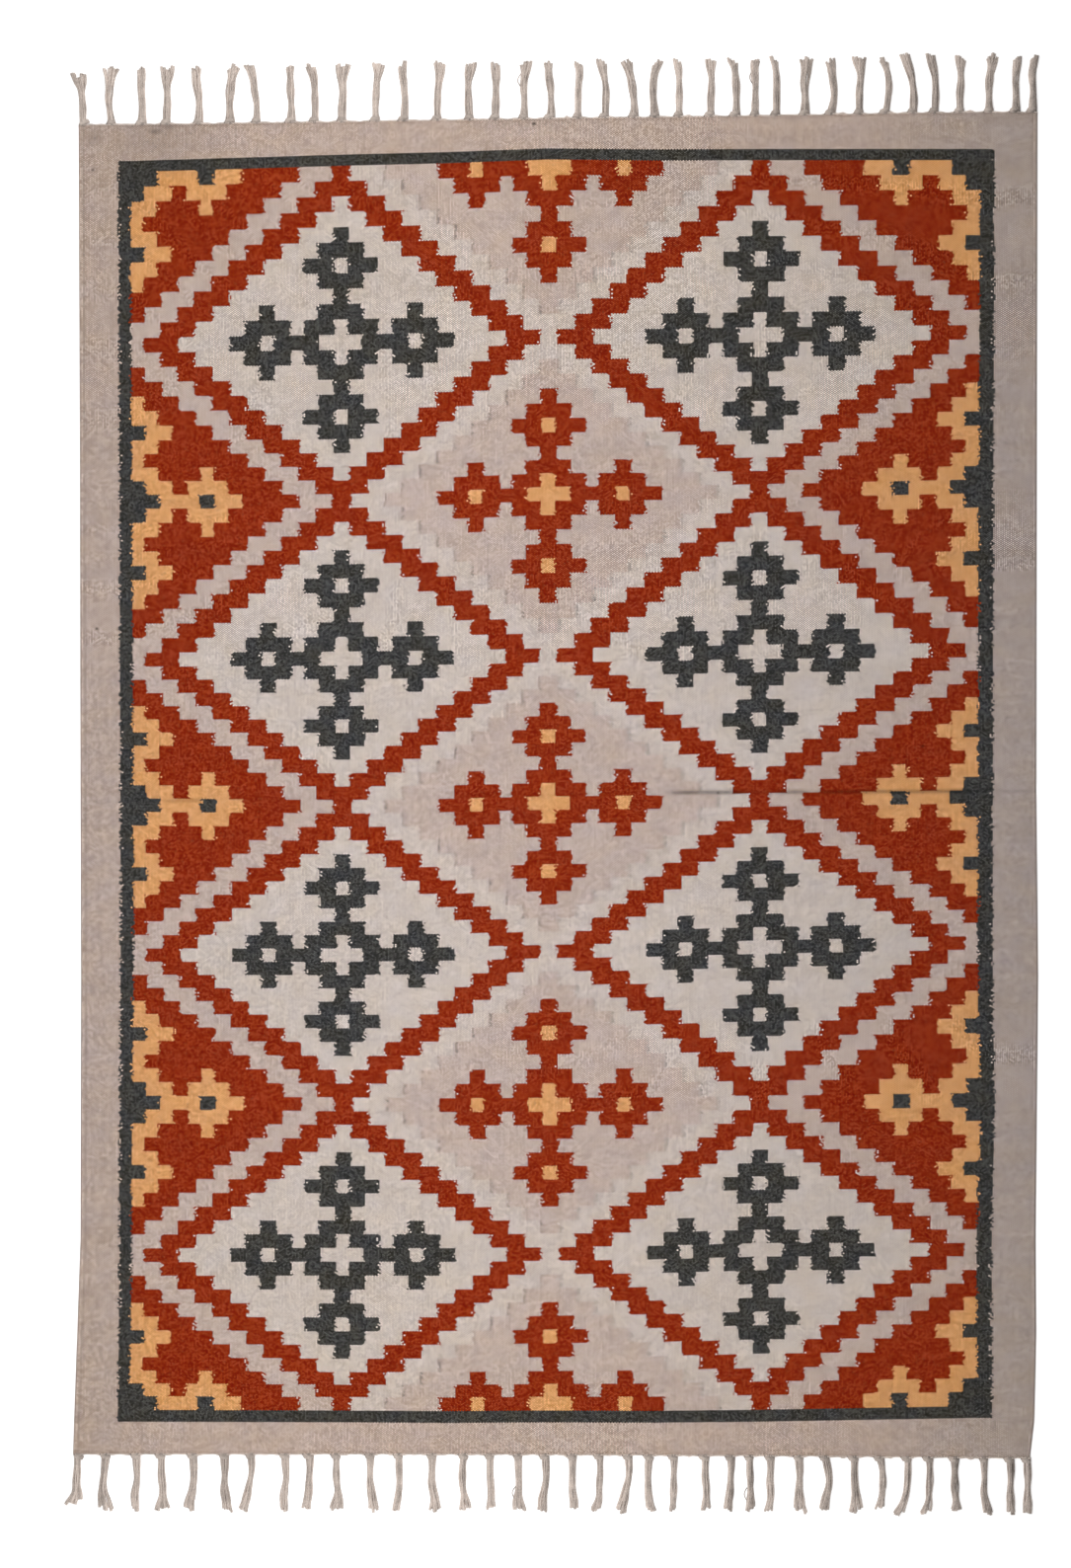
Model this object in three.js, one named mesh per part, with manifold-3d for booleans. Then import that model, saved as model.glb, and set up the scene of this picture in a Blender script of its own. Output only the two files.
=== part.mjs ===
// A flat-woven wool kilim rug that lies flat, with a knotted fringe at both ends.
// Millimetres, +Z up: X runs across the rug and Y along it, and the origin is at the middle of the underside.
// The cloth is one sheet. Each fringe is a narrow woven strip with its knotted tassels fused to it.
import * as THREE from "three";
import { mergeVertices } from "three/addons/utils/BufferGeometryUtils.js";
import Module from "manifold-3d";

const wasm = await Module();
wasm.setup();

// Body of the rug, a 5 by 7 ft kilim
const BODY_WIDTH = 1524;
const BODY_LENGTH = 2134;
const CLOTH_THICKNESS = 4;
const CLOTH_EDGE_HEIGHT = 2.6;
const CLOTH_EDGE_ROUND = 3;

// How far each side edge bulges out from a straight selvedge, by place along the rug
const SIDE_BULGE = [
  { y: -1080, left: 10, right: -13 },
  { y: -1010, left: 8, right: -5 },
  { y: -870, left: 3, right: -2 },
  { y: -720, left: -2, right: -3 },
  { y: -300, left: -3, right: 1 },
  { y: 0, left: -2, right: -2 },
  { y: 550, left: -1, right: -1 },
  { y: 1080, left: 1, right: 0 },
];

// How far each end of the body reaches past its nominal line, by place across the rug
const END_BULGE = [
  { x: -780, top: -14, bottom: -4 },
  { x: -520, top: -11, bottom: -4 },
  { x: -260, top: -7, bottom: -4 },
  { x: 0, top: -3, bottom: -3 },
  { x: 370, top: 2, bottom: -1 },
  { x: 590, top: 6, bottom: 1 },
  { x: 780, top: 7, bottom: 3 },
];

// The fold crease, a soft trough across the cloth with low shoulders, deeper towards the right
const CREASE = [
  { x: -780, y: -14, depth: 0.5 },
  { x: -300, y: -16, depth: 0.4 },
  { x: 0, y: -12, depth: 0.6 },
  { x: 250, y: -8, depth: 1.4 },
  { x: 780, y: -5, depth: 1.0 },
];
const CREASE_HALF_WIDTH = 14;
const CREASE_SHOULDER = { at: 1.6, spread: 0.9, share: 0.3 };
const CREASE_ROWS = [-2.5, -1.6, -0.8, 0, 0.8, 1.6, 2.5];

// Steps of the sheet across and along, away from the crease
const SHEET_COLUMNS = 15;
const SHEET_ROWS = 14;

// The strip of last weft rows that carries a fringe
const STRIP_WIDTH = 5;
const STRIP_THICKNESS = 3.4;
const SEAM_GAP = 0.3;
const SCALLOP = 1.6;

// A tassel's strands and knot
const STRANDS = 3;
const STRAND_STEPS = 4;
const STRAND_WIDTH = 4.1;
const STRAND_HEIGHT = 3.4;
const STRAND_TOP_SHARE = 0.6;
const STRAND_PITCH = 4.5;
const TIP_SHARE = 0.75;
const LENGTH_VARIATION = [0, 4, -3, 1, -5, 2];
const ROOT_DEPTH = 2;

// The knot's sections from left to right: its loop turns back on the left, so it is longer there
const KNOT_REACH = 8;
const KNOT_SINK = 1.5;
const KNOT_SECTIONS = [
  { across: -11.5, front: 0.55, wall: 2.2, crown: 3.6 },
  { across: -6.8, front: 1, wall: 3.7, crown: 6 },
  { across: 6.8, front: 1, wall: 3.7, crown: 5.2 },
  { across: 8.4, front: 0.6, wall: 2.2, crown: 3 },
];

// How a tassel lies: its tip's lean and its middle's bow to the right, the width of its spread tip, its reach
const TASSEL_FORMS = {
  fanned: { lean: -6, bow: 0, spread: 24, reach: 80 },
  forked: { lean: -2, bow: -4, spread: 21, reach: 90 },
  split: { lean: 2, bow: 0, spread: 18, reach: 90 },
  swept: { lean: -13, bow: 2, spread: 16, reach: 92 },
  leftward: { lean: -6, bow: 2, spread: 14, reach: 90 },
  rightward: { lean: 4, bow: -1, spread: 17, reach: 91 },
  upright: { lean: 1, bow: 0, spread: 13, reach: 88 },
  hooked: { lean: 3, bow: -4, spread: 15, reach: 88 },
  bowed: { lean: -2, bow: 6, spread: 13, reach: 86 },
  slender: { lean: -3, bow: 1, spread: 11, reach: 91 },
};

// The tassels of an end from left to right, as pairs of form and distance from the one before
const TASSELS = [
  ["fanned", 7], ["forked", 46], ["slender", 48], ["split", 39], ["leftward", 51], ["rightward", 50],
  ["swept", 42], ["slender", 55], ["leftward", 37], ["split", 44], ["rightward", 54], ["slender", 45],
  ["rightward", 53], ["hooked", 51], ["upright", 41], ["split", 45], ["leftward", 42], ["upright", 44],
  ["leftward", 43], ["swept", 46], ["hooked", 34], ["slender", 38], ["upright", 50], ["leftward", 40],
  ["upright", 31], ["slender", 33], ["split", 46], ["bowed", 41], ["split", 46], ["bowed", 41],
  ["swept", 44], ["leftward", 34], ["upright", 41], ["rightward", 47], ["upright", 41], ["upright", 27],
];

const CLOTH_COLOUR = "#8f6a58";
const FRINGE_COLOUR = "#bcaa9f";

function fabric(colour) {
  return new THREE.MeshStandardMaterial({ color: colour, roughness: 0.95, metalness: 0, flatShading: true });
}

// A column of a table, read in straight lines between its rows
function readTable(table, key, column, at) {
  const next = table.findIndex((row, k) => k > 0 && (at <= row[key] || k === table.length - 1));
  const a = table[next - 1];
  const b = table[next];
  const share = THREE.MathUtils.clamp(THREE.MathUtils.inverseLerp(a[key], b[key], at), 0, 1);
  return THREE.MathUtils.lerp(a[column], b[column], share);
}

function leftEdge(y) {
  return -BODY_WIDTH / 2 - readTable(SIDE_BULGE, "y", "left", y);
}

function rightEdge(y) {
  return BODY_WIDTH / 2 + readTable(SIDE_BULGE, "y", "right", y);
}

// Distance of an end's line from the middle of the rug; side is 1 at the top end and -1 at the bottom
function endLine(side, x) {
  return BODY_LENGTH / 2 + readTable(END_BULGE, "x", side > 0 ? "top" : "bottom", x);
}

// Even steps from 0 to 1, with one more close to each end where the edge rounds over
function evenSteps(count, edgeShare) {
  const steps = [0, edgeShare];
  for (let i = 1; i < count; i += 1) {
    steps.push(i / count);
  }
  steps.push(1 - edgeShare, 1);
  return steps;
}

const COLUMN_STEPS = evenSteps(SHEET_COLUMNS, CLOTH_EDGE_ROUND / BODY_WIDTH);

function creaseLine(x) {
  return readTable(CREASE, "x", "y", x);
}

// Height of the cloth's upper face, with the crease's trough and its two shoulders
function clothTop(x, y) {
  const depth = readTable(CREASE, "x", "depth", x);
  const away = Math.abs(y - creaseLine(x)) / CREASE_HALF_WIDTH;
  const trough = 1 - THREE.MathUtils.smoothstep(away, 0, 1);
  const { at, spread, share } = CREASE_SHOULDER;
  const shoulder = share * Math.max(0, 1 - Math.abs(away - at) / spread);
  return CLOTH_THICKNESS + depth * (shoulder - trough);
}

// The rows of the sheet: half-way up lies the crease, where they are close together
function rowSteps() {
  const steps = evenSteps(SHEET_ROWS, CLOTH_EDGE_ROUND / BODY_LENGTH).filter((step) => step !== 0.5);
  for (const offset of CREASE_ROWS) {
    steps.push(0.5 + (offset * CREASE_HALF_WIDTH) / BODY_LENGTH);
  }
  return steps.sort((a, b) => a - b);
}

// A closed body from a rectangular grid of upper points over the same grid of lower points
function slab(columns, rows, upperPoint, lowerPoint) {
  const positions = [];
  const index = [];
  const across = columns.length;
  const layer = across * rows.length;
  for (const pointAt of [upperPoint, lowerPoint]) {
    for (const v of rows) {
      for (const u of columns) {
        positions.push(...pointAt(u, v));
      }
    }
  }
  const quad = (a, b, c, d) => index.push(a, b, c, a, c, d);
  for (let j = 0; j + 1 < rows.length; j += 1) {
    for (let i = 0; i + 1 < across; i += 1) {
      const a = j * across + i;
      const d = a + across;
      quad(a, a + 1, d + 1, d);
      quad(layer + a, layer + d, layer + d + 1, layer + a + 1);
    }
  }
  const rim = [];
  for (let i = 0; i + 1 < across; i += 1) {
    rim.push(i);
  }
  for (let j = 0; j + 1 < rows.length; j += 1) {
    rim.push(j * across + across - 1);
  }
  for (let i = across - 1; i > 0; i -= 1) {
    rim.push((rows.length - 1) * across + i);
  }
  for (let j = rows.length - 1; j > 0; j -= 1) {
    rim.push(j * across);
  }
  rim.forEach((a, k) => {
    const b = rim[(k + 1) % rim.length];
    quad(layer + a, layer + b, b, a);
  });
  const geometry = new THREE.BufferGeometry();
  geometry.setAttribute("position", new THREE.Float32BufferAttribute(positions, 3));
  geometry.setIndex(index);
  return geometry;
}

function clothGeometry() {
  const place = (u, v) => {
    const nearX = (u - 0.5) * BODY_WIDTH;
    const nearY = (v - 0.5) * BODY_LENGTH;
    const x = THREE.MathUtils.lerp(leftEdge(nearY), rightEdge(nearY), u);
    const side = v < 0.5 ? -1 : 1;
    const end = side * (endLine(side, nearX) - STRIP_WIDTH - SEAM_GAP);
    return [x, THREE.MathUtils.lerp(creaseLine(x), end, Math.abs(v - 0.5) * 2)];
  };
  const upper = (u, v) => {
    const [x, y] = place(u, v);
    const onRim = u === 0 || u === 1 || v === 0 || v === 1;
    return [x, y, onRim ? CLOTH_EDGE_HEIGHT : clothTop(x, y)];
  };
  const lower = (u, v) => [...place(u, v), 0];
  return slab(COLUMN_STEPS, rowSteps(), upper, lower);
}

// A geometry as a solid for joining, with its shared corners merged
function toSolid(geometry) {
  const bare = geometry.clone();
  bare.deleteAttribute("normal");
  bare.deleteAttribute("uv");
  const merged = mergeVertices(bare, 1e-4);
  const mesh = new wasm.Mesh({
    numProp: 3,
    vertProperties: new Float32Array(merged.attributes.position.array),
    triVerts: new Uint32Array(merged.index.array),
  });
  return new wasm.Manifold(mesh);
}

function fromSolid(solid) {
  const mesh = solid.getMesh();
  const geometry = new THREE.BufferGeometry();
  geometry.setAttribute("position", new THREE.BufferAttribute(new Float32Array(mesh.vertProperties), 3));
  geometry.setIndex(new THREE.BufferAttribute(new Uint32Array(mesh.triVerts), 1));
  return geometry;
}

// A closed body through a row of rings that have the same number of corners
function loft(rings) {
  const corners = rings[0].length;
  const index = [];
  for (let s = 0; s + 1 < rings.length; s += 1) {
    for (let c = 0; c < corners; c += 1) {
      const a = s * corners + c;
      const b = s * corners + ((c + 1) % corners);
      index.push(a, b, b + corners, a, b + corners, a + corners);
    }
  }
  const last = (rings.length - 1) * corners;
  for (let c = 1; c + 1 < corners; c += 1) {
    index.push(0, c + 1, c, last, last + c, last + c + 1);
  }
  const geometry = new THREE.BufferGeometry();
  geometry.setAttribute("position", new THREE.Float32BufferAttribute(rings.flat(2), 3));
  geometry.setIndex(index);
  return geometry;
}

// One strand: a tapering bar with a level underside that runs out from the knot along the floor
function strandGeometry(form, order, tasselNumber) {
  const seat = order - (STRANDS - 1) / 2;
  const variation = LENGTH_VARIATION[(tasselNumber + 2 * order) % LENGTH_VARIATION.length];
  const rings = [];
  for (let s = 0; s <= STRAND_STEPS; s += 1) {
    const t = s / STRAND_STEPS;
    const opening = THREE.MathUtils.smoothstep(t, 0.2, 1);
    const pitch = THREE.MathUtils.lerp(STRAND_PITCH, Math.max(form.spread / STRANDS, STRAND_PITCH), opening);
    const across = seat * pitch + form.lean * t * t + form.bow * Math.sin(Math.PI * t);
    const out = THREE.MathUtils.lerp(KNOT_REACH - ROOT_DEPTH, form.reach + variation, t);
    const scale = THREE.MathUtils.lerp(1, TIP_SHARE, opening);
    const half = (STRAND_WIDTH / 2) * scale;
    const height = STRAND_HEIGHT * scale;
    rings.push([
      [across - half, out, 0],
      [across - half * STRAND_TOP_SHARE, out, height],
      [across + half * STRAND_TOP_SHARE, out, height],
      [across + half, out, 0],
    ]);
  }
  return loft(rings);
}

// The knot: a low loaf across the tassel's root, with a level underside and an upright front wall
function knotGeometry() {
  const rings = KNOT_SECTIONS.map(({ across, front, wall, crown }) => {
    const reach = KNOT_REACH * front;
    return [
      [across, -KNOT_SINK, 0],
      [across, reach, 0],
      [across, reach, wall],
      [across, reach * 0.4, crown],
      [across, -KNOT_SINK, wall],
    ];
  });
  return loft(rings);
}

// Places of the tassels across the rug at one end
function tasselPlaces(side) {
  let across = leftEdge((side * BODY_LENGTH) / 2);
  return TASSELS.map(([form, gap]) => {
    across += gap;
    return { form: TASSEL_FORMS[form], x: across };
  });
}

// The strip's outline: straight beside the cloth, and drawn out a little at each tassel
function stripGeometry(side, places) {
  const toY = (distance) => side * distance;
  const endY = (side * BODY_LENGTH) / 2;
  const shape = new THREE.Shape();
  COLUMN_STEPS.forEach((u, k) => {
    const nearX = (u - 0.5) * BODY_WIDTH;
    const x = THREE.MathUtils.lerp(leftEdge(endY), rightEdge(endY), u);
    const y = toY(endLine(side, nearX) - STRIP_WIDTH);
    if (k === 0) {
      shape.moveTo(x, y);
    } else {
      shape.lineTo(x, y);
    }
  });
  const outer = [rightEdge(endY)];
  for (let k = places.length - 1; k > 0; k -= 1) {
    outer.push(places[k].x, (places[k].x + places[k - 1].x) / 2);
  }
  outer.push(places[0].x, leftEdge(endY));
  outer.forEach((x, k) => {
    const drawn = k % 2 === 1 ? SCALLOP / 2 : -SCALLOP / 2;
    shape.lineTo(x, toY(endLine(side, x) + drawn));
  });
  return new THREE.ExtrudeGeometry(shape, { depth: STRIP_THICKNESS, bevelEnabled: false });
}

function fringeGeometry(side) {
  const places = tasselPlaces(side);
  const pieces = [toSolid(stripGeometry(side, places))];
  const knot = toSolid(knotGeometry());
  places.forEach(({ form, x }, number) => {
    const root = [x, side * endLine(side, x), 0];
    const parts = [knot];
    for (let order = 0; order < STRANDS; order += 1) {
      parts.push(toSolid(strandGeometry(form, order, number)));
    }
    const tassel = wasm.Manifold.union(parts);
    const facing = side > 0 ? tassel : tassel.mirror([0, 1, 0]);
    pieces.push(facing.translate(root));
  });
  return fromSolid(wasm.Manifold.union(pieces));
}

function piece(name, geometry, colour) {
  geometry.computeVertexNormals();
  const mesh = new THREE.Mesh(geometry, fabric(colour));
  mesh.name = name;
  return mesh;
}

const rug = new THREE.Group();
rug.add(piece("rug", clothGeometry(), CLOTH_COLOUR));
rug.add(piece("fringe_top", fringeGeometry(1), FRINGE_COLOUR));
rug.add(piece("fringe_bottom", fringeGeometry(-1), FRINGE_COLOUR));

export default rug;
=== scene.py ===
# %% [markdown]
# # A flat-woven kilim rug with knotted fringes
#
# A kilim is a rug with no pile: the coloured weft yarns are beaten down so hard that they hide the warp,
# and each colour block is woven to and fro on its own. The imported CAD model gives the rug's true size, its
# slightly uneven outline, the one fold crease and the place of every tassel. Here Blender gives it cloth
# that reads as cloth, and yarn that reads as yarn, inside that same outline.

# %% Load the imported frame
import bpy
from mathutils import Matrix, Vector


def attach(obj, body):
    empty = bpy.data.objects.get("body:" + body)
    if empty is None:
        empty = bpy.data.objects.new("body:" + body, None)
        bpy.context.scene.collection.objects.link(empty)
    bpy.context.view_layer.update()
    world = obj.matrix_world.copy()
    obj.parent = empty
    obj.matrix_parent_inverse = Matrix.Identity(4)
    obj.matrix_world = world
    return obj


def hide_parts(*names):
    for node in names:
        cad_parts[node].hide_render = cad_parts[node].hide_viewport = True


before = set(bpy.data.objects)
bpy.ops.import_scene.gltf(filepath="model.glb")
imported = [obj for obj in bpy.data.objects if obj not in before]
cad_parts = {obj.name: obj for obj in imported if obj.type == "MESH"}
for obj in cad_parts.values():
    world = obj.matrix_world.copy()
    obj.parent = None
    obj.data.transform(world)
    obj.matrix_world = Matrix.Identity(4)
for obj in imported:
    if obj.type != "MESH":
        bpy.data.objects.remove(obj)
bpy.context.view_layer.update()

import math

import bpy
import numpy as np

MM = 0.001
print("nodes:", sorted(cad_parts))

# %% [markdown]
# ## The rug's sizes
#
# These are the CAD source's own values in millimetres. A hand-woven rug is never quite square, so its two
# sides and two ends follow short tables of how far the line runs out from a plain rectangle. The crease is
# where the rug was folded in half for sending: a shallow trough with a soft shoulder on either side.

# %% Sizes and outline
BODY_WIDTH = 1524
BODY_LENGTH = 2134
CLOTH_THICKNESS = 4
STRIP_WIDTH = 5
SCALLOP = 0.8
SEAM_GAP = 0.3

SIDE_Y = (-1080, -1010, -870, -720, -300, 0, 550, 1080)
LEFT_OUT = (10, 8, 3, -2, -3, -2, -1, 1)
RIGHT_OUT = (-13, -5, -2, -3, 1, -2, -1, 0)
END_X = (-780, -520, -260, 0, 370, 590, 780)
TOP_OUT = (-14, -11, -7, -3, 2, 6, 7)
BOTTOM_OUT = (-4, -4, -4, -3, -1, 1, 3)
CREASE_X = (-780, -300, 0, 250, 780)
CREASE_Y = (-14, -16, -12, -8, -5)
CREASE_DEPTH = (0.5, 0.4, 0.6, 1.4, 1.0)
CREASE_HALF_WIDTH = 14


def left_edge(y):
    return -BODY_WIDTH / 2 - np.interp(y, SIDE_Y, LEFT_OUT)


def right_edge(y):
    return BODY_WIDTH / 2 + np.interp(y, SIDE_Y, RIGHT_OUT)


def end_line(side, x):
    """How far the end's line lies from the middle; side is 1 at the top end and -1 at the bottom."""
    return BODY_LENGTH / 2 + np.interp(x, END_X, TOP_OUT if side > 0 else BOTTOM_OUT)


print("cloth at its middle:", round(float(right_edge(0) - left_edge(0))), "mm wide")

# %% [markdown]
# ## Where the weaver is on the loom: design coordinates
#
# A weaver counts warps and weft rows, not millimetres. So every point of the cloth carries two numbers:
# A, the warp pairs counted from the middle line, and B, the steps of the pattern counted down from the top.
# The pattern is later drawn in A and B, where every step is straight and even.
#
# The weft isn't beaten equally hard everywhere, so the steps drift by some millimetres over a real rug. Three
# small tables hold that: the height of a few steps along five lines up the rug, how far the rows sag
# between those lines, and how far the columns stray sideways.

# %% Design coordinates
DESIGN_X = (
    (-762, -695.5, -679, -601.5, -511.5, -429, -346, -262, -179, -96)
    + (-17, 66.5, 151, 236, 321, 410.5, 501.5, 589, 668.5, 689, 762)
)
DESIGN_A = (
    (-191, -175.7, -170.5, -150, -127, -106, -84.5, -63, -42.25, -21)
    + (0, 21, 42, 63, 84.5, 107, 129, 150, 170.5, 175.7, 191)
)
DRIFT_X = (-679, -345, -16, 320, 669)
DRIFT_B = (0, 11.5, 18, 22.5, 28, 33.5, 44.5, 50, 55.5, 61, 66.5, 77.5, 83, 86, 89)
DRIFT_Y = (
    (976, 700, 549, 452, 327, 200, -30, -151, -269, -383, -503, -746, -865, -929, -990),
    (986, 705, 551, 453, 330, 202, -33, -152, -269, -385, -506, -745, -867, -932, -991),
    (996, 714, 562, 465, 339, 207, -27, -146, -263, -381, -507, -744, -864, -930, -991),
    (995, 717, 565, 469, 343, 213, -22, -140, -256, -374, -504, -737, -857, -925, -990),
    (995, 721, 573, 477, 351, 215, -17, -133, -249, -369, -500, -737, -855, -920, -984),
)
SAG_X = (-345, -180, -16, 152, 320)
SAG = (0, 1, 0, 1.1, 0)
STRAY_B = (0, 22, 55, 61, 66.5, 72, 77.5, 89)
STRAY_X = (
    (-2.7, 0.3, 2.8, 1.7, 0.6, -0.8, -0.2, -4.5),
    (-0.5, 0, 2.4, 2.6, 3.2, 2.3, 2.1, 0.5),
    (2.2, 0, 0.6, 1.4, 2.6, 3.6, 3.2, 4.3),
    (1.6, -0.8, 0, 0.1, 0.1, 0.5, 1, 1.9),
    (3, 0, -1.2, -0.8, 4, -0.5, -3.3, -2),
)
ROW_HEIGHT = 22
ROWS_OUTSIDE = 6
FIELD_X = 679
STRAY_FADES = 60
PAIR_WIDTH = 4


def between_columns(x, columns):
    """Reads values that are known at the drift columns, in straight lines between them."""
    share = np.interp(x, DRIFT_X, np.arange(len(DRIFT_X)))
    first = np.clip(np.floor(share).astype(int), 0, len(DRIFT_X) - 2)
    spot = np.arange(x.size)
    return columns[first, spot] * (1 - share + first) + columns[first + 1, spot] * (share - first)


def design_coordinates(x, y):
    steps = (DRIFT_B[0] - ROWS_OUTSIDE, *DRIFT_B, DRIFT_B[-1] + ROWS_OUTSIDE)
    reach = ROWS_OUTSIDE * ROW_HEIGHT
    columns = []
    for heights in DRIFT_Y:
        heights = (heights[0] + reach, *heights, heights[-1] - reach)
        columns.append(np.interp(-y - np.interp(x, SAG_X, SAG), [-h for h in heights], steps))
    b = between_columns(x, np.array(columns))
    stray = between_columns(x, np.array([np.interp(b, STRAY_B, strays) for strays in STRAY_X]))
    past = np.clip((np.abs(x) - FIELD_X) / STRAY_FADES, 0, 1)
    x = x - stray * (1 - past)
    beyond = np.abs(x) - DESIGN_X[-1]
    outside = np.sign(x) * (DESIGN_A[-1] + beyond / PAIR_WIDTH)
    return np.where(beyond > 0, outside, np.interp(x, DESIGN_X, DESIGN_A)), b


middle = design_coordinates(np.zeros(1), np.zeros(1))
print("middle of the rug in the design:", [np.round(v, 1) for v in middle])

# %% [markdown]
# ## Five small helpers
#
# Colours are picked as sRGB hex values, which is how a photo or a paint chart gives them, but a shader works
# in linear light, so one function turns them. A second one adds any node, with its settings and its links,
# in shader trees and geometry trees alike. Long sums would fill pages that way, so a third reads them from a
# table. Each line has the result's name, an operation, and numbers or the names of earlier results. After a
# bar comes the next operation, and the result so far goes into it first. The last two start a node group with
# its sockets, and make a mesh an object.

# %% Helpers
def linear(hex_colour):
    channels = [int(hex_colour[i : i + 2], 16) / 255 for i in (1, 3, 5)]
    return (*(c / 12.92 if c <= 0.04045 else ((c + 0.055) / 1.055) ** 2.4 for c in channels), 1)


def add(tree, kind, settings=None, inputs=None):
    """Adds a node. An input is a value, a socket, or a node, which stands for its first output in use."""
    node = tree.nodes.new(kind)
    for name, value in (settings or {}).items():
        setattr(node, name, value)
    for name, value in (inputs or {}).items():
        socket = node.inputs[name]
        if isinstance(value, bpy.types.Node):
            value = next(output for output in value.outputs if output.enabled)
        if isinstance(value, bpy.types.NodeSocket):
            tree.links.new(value, socket)
        else:
            socket.default_value = value
    return node


def chain(tree, steps, values, kind="ShaderNodeMath"):
    """Adds a node for each operation of a table, and keeps each line's result in values."""
    for line in steps.strip().splitlines():
        name, sums = line.split(" = ")
        result = []
        for operation, *terms in map(str.split, sums.split(" | ")):
            inputs = result + [values[term] if term in values else float(term) for term in terms]
            result = [add(tree, kind, {"operation": operation.upper()}, dict(enumerate(inputs)))]
        values[name] = result[0]


def new_group(name, kind, sockets):
    """Starts a node group. A socket has a name, a way, what it holds, and maybe a value to start from."""
    group = bpy.data.node_groups.new(name, kind)
    for title, way, holds, *start in sockets:
        socket = group.interface.new_socket(title, in_out=way, socket_type="NodeSocket" + holds)
        if start:
            socket.default_value = start[0]
    return group


def mesh_object(name, points, faces, material=None):
    mesh = bpy.data.meshes.new(name)
    mesh.from_pydata(points, [], faces)
    if material:
        mesh.materials.append(material)
    mesh.validate()
    piece = bpy.data.objects.new(name, mesh)
    bpy.context.scene.collection.objects.link(piece)
    return piece


print("ivory in linear light:", [round(c, 3) for c in linear("#ccbfb6")])

# %% [markdown]
# ## The flower of the stepped design, as a group of nodes
#
# The rug's traditional motif is the stepped cross: a small lozenge of squares with a flower on each of its
# four arms, and holes where the ground shows through. It comes three times over, in different colours, so
# it is one node group. It takes a square's distance from the cross's middle, in squares across and squares
# down, and says whether the square is cross or hole.

# %% The motif
MOTIF_STEPS = """
sum = add across down
body = less_than sum 3.5
arm_a = subtract across 5 | absolute
flower_a = add arm_a down
in_a = less_than flower_a 2.5
arm_b = subtract down 5 | absolute
flower_b = add arm_b across
in_b = less_than flower_b 2.5
all = maximum in_a in_b | maximum body
eye = less_than sum 1.5
eye_a = less_than flower_a 0.5
eye_b = less_than flower_b 0.5
eyes = maximum eye_a eye_b
hole = maximum eye eyes
cross = subtract all hole
"""
MOTIF_SOCKETS = ("across", "INPUT"), ("down", "INPUT"), ("cross", "OUTPUT"), ("hole", "OUTPUT")
motif = new_group("stepped cross", "ShaderNodeTree", [(*socket, "Float") for socket in MOTIF_SOCKETS])
inside = add(motif, "NodeGroupInput")
values = {"across": inside.outputs["across"], "down": inside.outputs["down"]}
chain(motif, MOTIF_STEPS, values)
add(motif, "NodeGroupOutput", None, {"cross": values["cross"], "hole": values["hole"]})
print("motif nodes:", len(motif.nodes))

# %% [markdown]
# ## The stepped design, charted
#
# Four repeats of 22 rows lie above each other, and the left and right halves mirror. In each repeat, a
# point's distance from the lozenge's middle, in steps, picks the band that it is in: ivory lozenge, rust
# band, light band, and the taupe or rust ground. A charcoal frame line and the plain border close the field.
# Where two blocks of undyed wool meet along a warp, each turns back on its own side and leaves a slit, so
# the chart marks those too.
#
# It is a group, because the cloth asks for it twice: what dye lies a little to one side of a bead, and what
# dye a little to the other.

# %% The design
LOZENGE_AT, FIELD_EDGE, BORDER_EDGE = 84.5, 170.5, 175.7
BAND_STEPS = """
row = floor b | maximum 0 | minimum 88
repeat = floored_modulo row 22
k = subtract repeat 11 | absolute
j = subtract 11 k
out = absolute a
inner = less_than out lozenge_at
side = subtract 1 inner
near = subtract out lozenge_at | absolute
step = multiply_add k 7 near
light = less_than step 94.5
rust = less_than step 80.5
ivory = less_than step 66.5
slit = subtract step 94.5 | absolute | less_than 0.42 | multiply inner
light_inner = multiply light inner
light_side = multiply light side
past_rust = subtract 1 rust
past_light = subtract 1 light
middle_ground = multiply inner past_rust
side_ground = multiply side past_light
lozenge_across = divide near 6 | round
middle_across = divide out 6 | round
side_across = subtract field_edge out | divide 5.75 | floor | maximum 0
frame = greater_than out field_edge
above = less_than b 0
below = greater_than b 89
frame = maximum frame above | maximum below
border = greater_than out border_edge
above = less_than b -0.8
below = greater_than b 89.9
border = maximum border above | maximum below
open = subtract 1 frame
slit = multiply slit open
"""
DESIGN_SOCKETS = (
    ("a", "INPUT", "Float"),
    ("b", "INPUT", "Float"),
    ("dye", "OUTPUT", "Color"),
    ("slit", "OUTPUT", "Float"),
)
design = new_group("stepped design", "ShaderNodeTree", DESIGN_SOCKETS)
inside = add(design, "NodeGroupInput")
values = {"a": inside.outputs["a"], "b": inside.outputs["b"]}
values |= {"lozenge_at": LOZENGE_AT, "field_edge": FIELD_EDGE, "border_edge": BORDER_EDGE}
chain(design, BAND_STEPS, values)
print("band nodes:", len(design.nodes))
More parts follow.
